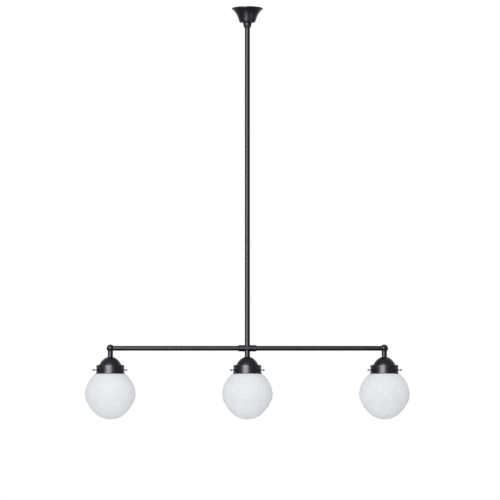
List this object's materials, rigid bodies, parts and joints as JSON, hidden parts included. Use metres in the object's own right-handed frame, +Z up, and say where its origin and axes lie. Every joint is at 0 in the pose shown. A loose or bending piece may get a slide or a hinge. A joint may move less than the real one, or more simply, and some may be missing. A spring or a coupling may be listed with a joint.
{
  "type": "linear island pendant",
  "caption": "Black rod-hung bar pendant with a bell canopy, domed shade holders and closed opal glass globes with ribbed relief.",
  "frame": {"origin": "middle of the ceiling bracket's slots, in the ceiling plane", "axes": "+Z up, +X along the bar, +Y away from the viewer"},
  "size_m": [0.9828, 0.1528, 1.2531],
  "materials": {
    "black_powder_coat": "satin",
    "plated_steel": "zinc plated",
    "brass": "plain",
    "black_steel": "blackened",
    "screw_metal": "satin",
    "white_nylon": "matte",
    "black_phenolic": "moulded",
    "lamp_cap_metal": "bright",
    "lamp_glass": "frosted",
    "opal_glass": "pressed opal",
    "lead_sheath": "matte"
  },
  "bodies": {
    "root": {"ceiling_bracket": "plated_steel", "hanger_bolt": "plated_steel", "hanger_nut": "plated_steel", "hanger_yoke": "plated_steel", "rod_nipple_top": "plated_steel", "rod_lock_nut": "plated_steel", "terminal_block": "white_nylon", "terminal_sleeves": "brass", "terminal_screws": "plated_steel", "block_screws": "plated_steel", "earth_screw": "brass", "rod_bush_top": "brass", "rod_bush_foot": "brass", "down_rod": "black_powder_coat", "rod_nipple_foot": "plated_steel", "cross_fitting": "black_powder_coat", "arm_set_screws": "black_steel", "arm_left": "black_powder_coat", "arm_right": "black_powder_coat", "end_ball_left": "black_powder_coat", "end_ball_right": "black_powder_coat", "stem_nipples": "plated_steel", "holder_nuts": "plated_steel", "lampholder_caps": "black_phenolic", "socket_shells": "brass", "socket_contacts": "brass", "stem_left": "black_powder_coat", "shade_holder_left": "black_powder_coat", "lampholder_left": "black_phenolic", "lead_left": "lead_sheath", "stem_middle": "black_powder_coat", "shade_holder_middle": "black_powder_coat", "lampholder_middle": "black_phenolic", "lead_middle": "lead_sheath", "stem_right": "black_powder_coat", "shade_holder_right": "black_powder_coat", "lampholder_right": "black_phenolic", "lead_right": "lead_sheath"},
    "canopy_collar": {"canopy_collar": "black_powder_coat"},
    "canopy_cup": {"canopy_cup": "black_powder_coat"},
    "collar_grub": {"collar_grub_screw": "black_steel"},
    "glass_shade_left": {"glass_shade_left": "opal_glass"},
    "thumb_screw_left_1": {"thumb_screw_left_1": "screw_metal"},
    "thumb_screw_left_2": {"thumb_screw_left_2": "screw_metal"},
    "thumb_screw_left_3": {"thumb_screw_left_3": "screw_metal"},
    "lamp_left": {"lamp_cap_left": "lamp_cap_metal", "lamp_glass_left": "lamp_glass"},
    "glass_shade_middle": {"glass_shade_middle": "opal_glass"},
    "thumb_screw_middle_1": {"thumb_screw_middle_1": "screw_metal"},
    "thumb_screw_middle_2": {"thumb_screw_middle_2": "screw_metal"},
    "thumb_screw_middle_3": {"thumb_screw_middle_3": "screw_metal"},
    "lamp_middle": {"lamp_cap_middle": "lamp_cap_metal", "lamp_glass_middle": "lamp_glass"},
    "glass_shade_right": {"glass_shade_right": "opal_glass"},
    "thumb_screw_right_1": {"thumb_screw_right_1": "screw_metal"},
    "thumb_screw_right_2": {"thumb_screw_right_2": "screw_metal"},
    "thumb_screw_right_3": {"thumb_screw_right_3": "screw_metal"},
    "lamp_right": {"lamp_cap_right": "lamp_cap_metal", "lamp_glass_right": "lamp_glass"}
  },
  "joints": [
    {"name": "collar_slide", "type": "slide", "parent": "root", "child": "canopy_collar", "axis": [0, 0, 1], "range_m": [-0.962, 0]},
    {"name": "canopy_slide", "type": "slide", "parent": "root", "child": "canopy_cup", "axis": [0, 0, 1], "range_m": [-0.962, 0]},
    {"name": "grub_screw", "type": "slide", "parent": "canopy_collar", "child": "collar_grub", "axis": [0, 1, 0], "range_m": [0, 0.002]},
    {"name": "shade_drop_left", "type": "slide", "parent": "root", "child": "glass_shade_left", "axis": [0, 0, -1], "range_m": [0, 0.022]},
    {"name": "thumb_turn_left_1", "type": "slide", "parent": "root", "child": "thumb_screw_left_1", "axis": [0, 1, 0], "range_m": [0, 0.0051]},
    {"name": "thumb_turn_left_2", "type": "slide", "parent": "root", "child": "thumb_screw_left_2", "axis": [-0.866, -0.5, 0], "range_m": [0, 0.0051]},
    {"name": "thumb_turn_left_3", "type": "slide", "parent": "root", "child": "thumb_screw_left_3", "axis": [0.866, -0.5, 0], "range_m": [0, 0.0051]},
    {"name": "lamp_out_left", "type": "slide", "parent": "root", "child": "lamp_left", "axis": [0, 0, -1], "range_m": [0, 0.026]},
    {"name": "shade_drop_middle", "type": "slide", "parent": "root", "child": "glass_shade_middle", "axis": [0, 0, -1], "range_m": [0, 0.022]},
    {"name": "thumb_turn_middle_1", "type": "slide", "parent": "root", "child": "thumb_screw_middle_1", "axis": [0, 1, 0], "range_m": [0, 0.0051]},
    {"name": "thumb_turn_middle_2", "type": "slide", "parent": "root", "child": "thumb_screw_middle_2", "axis": [-0.866, -0.5, 0], "range_m": [0, 0.0051]},
    {"name": "thumb_turn_middle_3", "type": "slide", "parent": "root", "child": "thumb_screw_middle_3", "axis": [0.866, -0.5, 0], "range_m": [0, 0.0051]},
    {"name": "lamp_out_middle", "type": "slide", "parent": "root", "child": "lamp_middle", "axis": [0, 0, -1], "range_m": [0, 0.026]},
    {"name": "shade_drop_right", "type": "slide", "parent": "root", "child": "glass_shade_right", "axis": [0, 0, -1], "range_m": [0, 0.022]},
    {"name": "thumb_turn_right_1", "type": "slide", "parent": "root", "child": "thumb_screw_right_1", "axis": [0, 1, 0], "range_m": [0, 0.0051]},
    {"name": "thumb_turn_right_2", "type": "slide", "parent": "root", "child": "thumb_screw_right_2", "axis": [-0.866, -0.5, 0], "range_m": [0, 0.0051]},
    {"name": "thumb_turn_right_3", "type": "slide", "parent": "root", "child": "thumb_screw_right_3", "axis": [0.866, -0.5, 0], "range_m": [0, 0.0051]},
    {"name": "lamp_out_right", "type": "slide", "parent": "root", "child": "lamp_right", "axis": [0, 0, -1], "range_m": [0, 0.026]}
  ],
  "couplings": [
    {"joint": "canopy_slide", "follows": "collar_slide", "ratio": 1},
    {"joint": "thumb_turn_left_1", "follows": "shade_drop_left", "ratio": 0.23087},
    {"joint": "thumb_turn_left_2", "follows": "shade_drop_left", "ratio": 0.23087},
    {"joint": "thumb_turn_left_3", "follows": "shade_drop_left", "ratio": 0.23087},
    {"joint": "thumb_turn_middle_1", "follows": "shade_drop_middle", "ratio": 0.23087},
    {"joint": "thumb_turn_middle_2", "follows": "shade_drop_middle", "ratio": 0.23087},
    {"joint": "thumb_turn_middle_3", "follows": "shade_drop_middle", "ratio": 0.23087},
    {"joint": "thumb_turn_right_1", "follows": "shade_drop_right", "ratio": 0.23087},
    {"joint": "thumb_turn_right_2", "follows": "shade_drop_right", "ratio": 0.23087},
    {"joint": "thumb_turn_right_3", "follows": "shade_drop_right", "ratio": 0.23087}
  ]
}
